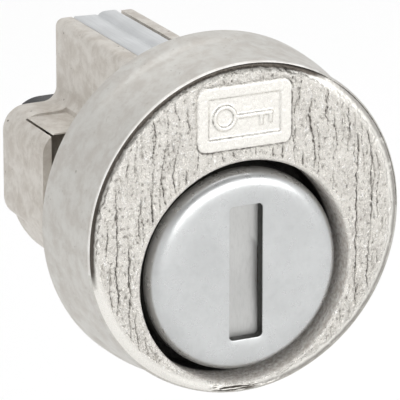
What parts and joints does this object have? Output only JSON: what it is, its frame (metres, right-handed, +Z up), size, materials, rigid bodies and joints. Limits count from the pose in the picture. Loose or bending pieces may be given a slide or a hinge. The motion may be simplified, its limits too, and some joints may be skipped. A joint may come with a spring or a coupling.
{
  "type": "selector key switch",
  "caption": "Round-headed key cylinder with a shuttered key slot, a textured cast face, a pin chamber behind and a small rotary contact block on its tail.",
  "frame": {"origin": "centre of the panel seat, the rear face of the head, on the head's own axis", "axes": "+Y from the face towards the back, along the plug's axis; +Z up, towards the pin chamber; +X to the right as the face is looked at"},
  "size_m": [0.0252, 0.0341, 0.0252],
  "materials": {
    "cast_nickel": "nickel-plated zinc die casting, satin with fine pits, face with a bark-like relief",
    "stainless_cap": "fine satin stainless steel with a bright rolled edge",
    "shutter_steel": "satin steel",
    "cover_strip": "cold-rolled zinc-plated strip, cool grey",
    "plug_brass": "turned and broached brass",
    "pin_nickel_silver": "turned nickel silver",
    "spring_steel": "drawn spring wire",
    "fastener_steel": "zinc-plated steel",
    "black_thermoset": "moulded black thermoset, fine grain",
    "rotor_plastic": "moulded off-white nylon",
    "board_phenolic": "brown phenolic sheet",
    "contact_bronze": "phosphor bronze, silver-plated contact spots"
  },
  "bodies": {
    "housing": {"lock_body": "cast_nickel", "pin_cover": "cover_strip", "switch_base": "black_thermoset", "base_screws": "fastener_steel", "terminal_board": "board_phenolic", "terminal_1": "contact_bronze", "terminal_2": "contact_bronze", "terminal_3": "contact_bronze", "terminal_4": "contact_bronze", "pin_spring_1": "spring_steel", "pin_spring_2": "spring_steel", "pin_spring_3": "spring_steel", "pin_spring_4": "spring_steel", "pin_spring_5": "spring_steel"},
    "plug_assembly": {"plug": "plug_brass", "face_cap": "stainless_cap", "plug_clip": "spring_steel", "shutter_pin": "fastener_steel", "shutter_spring": "spring_steel", "rotor": "rotor_plastic", "wiper": "contact_bronze"},
    "shutter_flap": {"shutter": "shutter_steel"},
    "key_pin_body_1": {"key_pin_1": "plug_brass"},
    "key_pin_body_2": {"key_pin_2": "plug_brass"},
    "key_pin_body_3": {"key_pin_3": "plug_brass"},
    "key_pin_body_4": {"key_pin_4": "plug_brass"},
    "key_pin_body_5": {"key_pin_5": "plug_brass"},
    "driver_pin_body_1": {"driver_pin_1": "pin_nickel_silver"},
    "driver_pin_body_2": {"driver_pin_2": "pin_nickel_silver"},
    "driver_pin_body_3": {"driver_pin_3": "pin_nickel_silver"},
    "driver_pin_body_4": {"driver_pin_4": "pin_nickel_silver"},
    "driver_pin_body_5": {"driver_pin_5": "pin_nickel_silver"}
  },
  "joints": [
    {"name": "plug_turn", "type": "hinge", "parent": "housing", "child": "plug_assembly", "pos_m": [0, 0, -0.0032], "axis": [0, 1, 0], "range_deg": [0, 90]},
    {"name": "shutter_swing", "type": "hinge", "parent": "plug_assembly", "child": "shutter_flap", "pos_m": [0.00205, -0.00575, -0.0032], "axis": [0, 0, -1], "range_deg": [0, 85], "stiffness_Nm_per_rad": 0.0002, "springref_deg": -45.84, "deforming": ["shutter_spring"]},
    {"name": "key_pin_1_drop", "type": "slide", "parent": "plug_assembly", "child": "key_pin_body_1", "axis": [0, 0, 1], "range_m": [-0.00178, 0]},
    {"name": "key_pin_2_drop", "type": "slide", "parent": "plug_assembly", "child": "key_pin_body_2", "axis": [0, 0, 1], "range_m": [-0.00098, 0]},
    {"name": "key_pin_3_drop", "type": "slide", "parent": "plug_assembly", "child": "key_pin_body_3", "axis": [0, 0, 1], "range_m": [-0.00198, 0]},
    {"name": "key_pin_4_drop", "type": "slide", "parent": "plug_assembly", "child": "key_pin_body_4", "axis": [0, 0, 1], "range_m": [-0.00128, 0]},
    {"name": "key_pin_5_drop", "type": "slide", "parent": "plug_assembly", "child": "key_pin_body_5", "axis": [0, 0, 1], "range_m": [-0.00158, 0]},
    {"name": "driver_pin_1_lift", "type": "slide", "parent": "housing", "child": "driver_pin_body_1", "axis": [0, 0, 1], "range_m": [0, 0.0014], "stiffness_N_per_m": 60, "springref_m": -0.003, "deforming": ["pin_spring_1"]},
    {"name": "driver_pin_2_lift", "type": "slide", "parent": "housing", "child": "driver_pin_body_2", "axis": [0, 0, 1], "range_m": [0, 0.0014], "stiffness_N_per_m": 60, "springref_m": -0.003, "deforming": ["pin_spring_2"]},
    {"name": "driver_pin_3_lift", "type": "slide", "parent": "housing", "child": "driver_pin_body_3", "axis": [0, 0, 1], "range_m": [0, 0.0014], "stiffness_N_per_m": 60, "springref_m": -0.003, "deforming": ["pin_spring_3"]},
    {"name": "driver_pin_4_lift", "type": "slide", "parent": "housing", "child": "driver_pin_body_4", "axis": [0, 0, 1], "range_m": [0, 0.0014], "stiffness_N_per_m": 60, "springref_m": -0.003, "deforming": ["pin_spring_4"]},
    {"name": "driver_pin_5_lift", "type": "slide", "parent": "housing", "child": "driver_pin_body_5", "axis": [0, 0, 1], "range_m": [0, 0.0014], "stiffness_N_per_m": 60, "springref_m": -0.003, "deforming": ["pin_spring_5"]}
  ]
}
